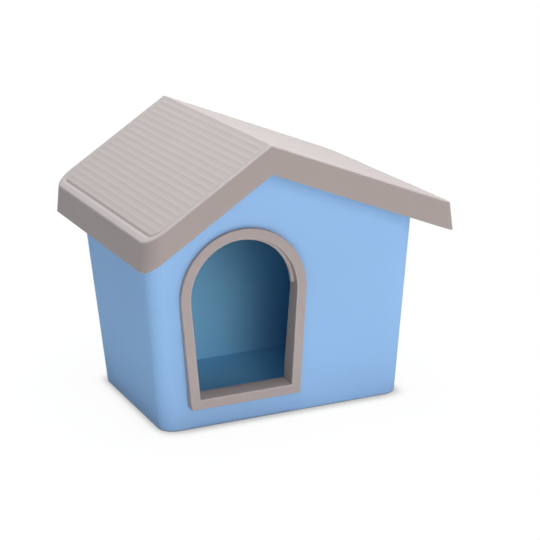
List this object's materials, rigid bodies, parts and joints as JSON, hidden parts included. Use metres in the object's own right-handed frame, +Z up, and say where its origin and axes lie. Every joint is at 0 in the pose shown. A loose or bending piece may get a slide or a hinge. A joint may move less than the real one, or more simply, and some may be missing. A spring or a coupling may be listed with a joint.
{
  "type": "dog house",
  "caption": "Small moulded-plastic dog house: blue tub with gabled ends, arched framed doorway and a taupe lift-off roof with an off-centre ridge and slatted slopes.",
  "frame": {"origin": "on the ground, under the middle of the roof's box", "axes": "+X to the right along the front, +Y to the back, +Z up; the doorway faces -Y and the ridge runs along Y"},
  "size_m": [0.5, 0.435, 0.4353],
  "materials": {
    "tub_plastic": "pale blue satin polypropylene",
    "roof_plastic": "taupe-grey satin polypropylene",
    "frame_plastic": "taupe-grey satin polypropylene"
  },
  "bodies": {
    "house": {"body_tub": "tub_plastic", "door_frame": "frame_plastic"},
    "roof": {"roof_shell": "roof_plastic"}
  },
  "joints": [
    {"name": "roof_lift", "type": "slide", "parent": "house", "child": "roof", "axis": [0, 0, 1], "range_m": [0, 0.17]}
  ]
}
